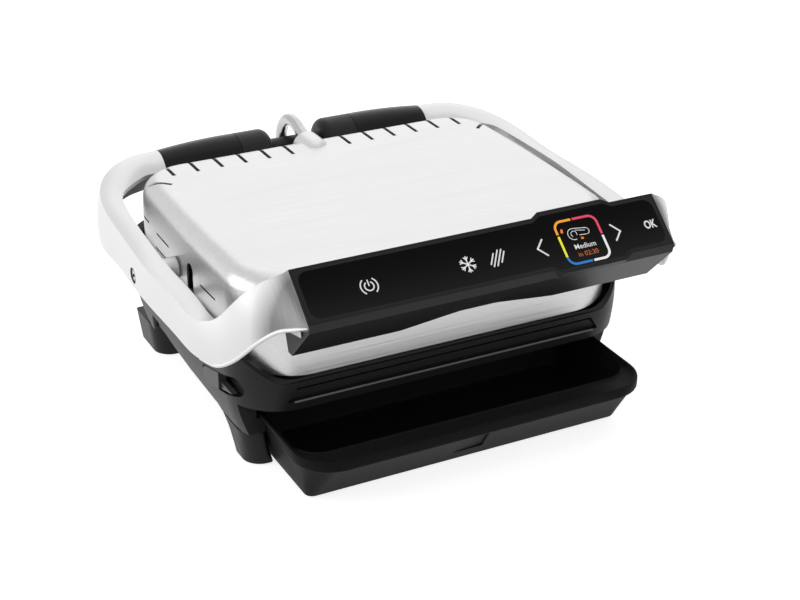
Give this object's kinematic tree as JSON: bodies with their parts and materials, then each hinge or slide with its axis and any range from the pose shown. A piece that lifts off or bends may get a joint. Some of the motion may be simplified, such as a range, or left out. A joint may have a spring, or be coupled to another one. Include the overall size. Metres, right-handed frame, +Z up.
{
  "type": "contact grill",
  "caption": "Closed contact grill: steel lid floating in a silver arm frame with a sloping control panel, ribbed plates, rear hinge and a front drip drawer.",
  "frame": {"origin": "on the table, under the middle of the closed grill's bounding box", "axes": "+Z up, front with the control panel and drawer towards -Y, +X to the right seen from the front"},
  "size_m": [0.3684, 0.3667, 0.1809],
  "materials": {
    "black_plastic": "fine moulded texture",
    "gloss_black": "gloss",
    "panel_glass": "smooth tinted black",
    "silver_paint": "satin silver",
    "brushed_steel": "fine brushed",
    "tray_steel": "plain",
    "pin_steel": "turned",
    "bright_steel": "bright",
    "heater_steel": "dull",
    "plate_coating": "non-stick coating",
    "rubber": "matte",
    "grey_plastic": "satin",
    "pale_plastic": "plain",
    "component_black": "plain",
    "circuit_board": "lacquered"
  },
  "bodies": {
    "base": {"lower_housing": "black_plastic", "plate_bed": "black_plastic", "feet": "black_plastic", "foot_pads": "rubber", "bottom_cover": "black_plastic", "lower_plate": "plate_coating", "lower_heater": "heater_steel", "lower_heat_tray": "tray_steel", "lower_sensor": "pin_steel", "hinge_towers": "black_plastic", "cable_gland": "rubber", "terminal_block": "pale_plastic", "power_board": "circuit_board", "power_relays": "component_black", "power_board_posts": "black_plastic"},
    "frame": {"arm_left": "silver_paint", "arm_right": "silver_paint", "pivot_pins": "pin_steel", "pivot_caps": "silver_paint", "float_stop_pins": "pin_steel", "hinge_barrels": "black_plastic", "hinge_shaft": "pin_steel", "conduit_hub": "black_plastic", "wire_tube": "bright_steel", "panel_housing": "black_plastic", "panel_bezel": "gloss_black", "panel_glass": "panel_glass", "display_module": "component_black", "control_board": "circuit_board", "board_posts": "black_plastic"},
    "lid": {"lid_shell": "brushed_steel", "lid_lining": "black_plastic", "upper_plate": "plate_coating", "upper_heater": "heater_steel", "upper_heat_tray": "tray_steel", "upper_sensor": "pin_steel", "pivot_bushes": "pale_plastic"},
    "upper_lever": {"upper_release_lever": "grey_plastic"},
    "lower_lever": {"lower_release_lever": "grey_plastic"},
    "drawer": {"drip_drawer": "black_plastic"}
  },
  "joints": [
    {"name": "lid_hinge", "type": "hinge", "parent": "base", "child": "frame", "pos_m": [0, 0.1535, 0.13], "axis": [-1, 0, 0], "range_deg": [0, 95]},
    {"name": "lid_float", "type": "hinge", "parent": "frame", "child": "lid", "pos_m": [0, 0.0195, 0.113], "axis": [-1, 0, 0], "range_deg": [-3, 0]},
    {"name": "drawer_slide", "type": "slide", "parent": "base", "child": "drawer", "axis": [0, -1, 0], "range_m": [0, 0.11]},
    {"name": "lower_release", "type": "slide", "parent": "base", "child": "lower_lever", "axis": [1, 0, 0], "range_m": [0, 0.0025], "stiffness_N_per_m": 400},
    {"name": "upper_release", "type": "slide", "parent": "lid", "child": "upper_lever", "axis": [0, 0, -1], "range_m": [0, 0.004], "stiffness_N_per_m": 400}
  ],
  "couplings": [
    {"joint": "lid_float", "follows": "lid_hinge", "ratio": -0.03}
  ]
}
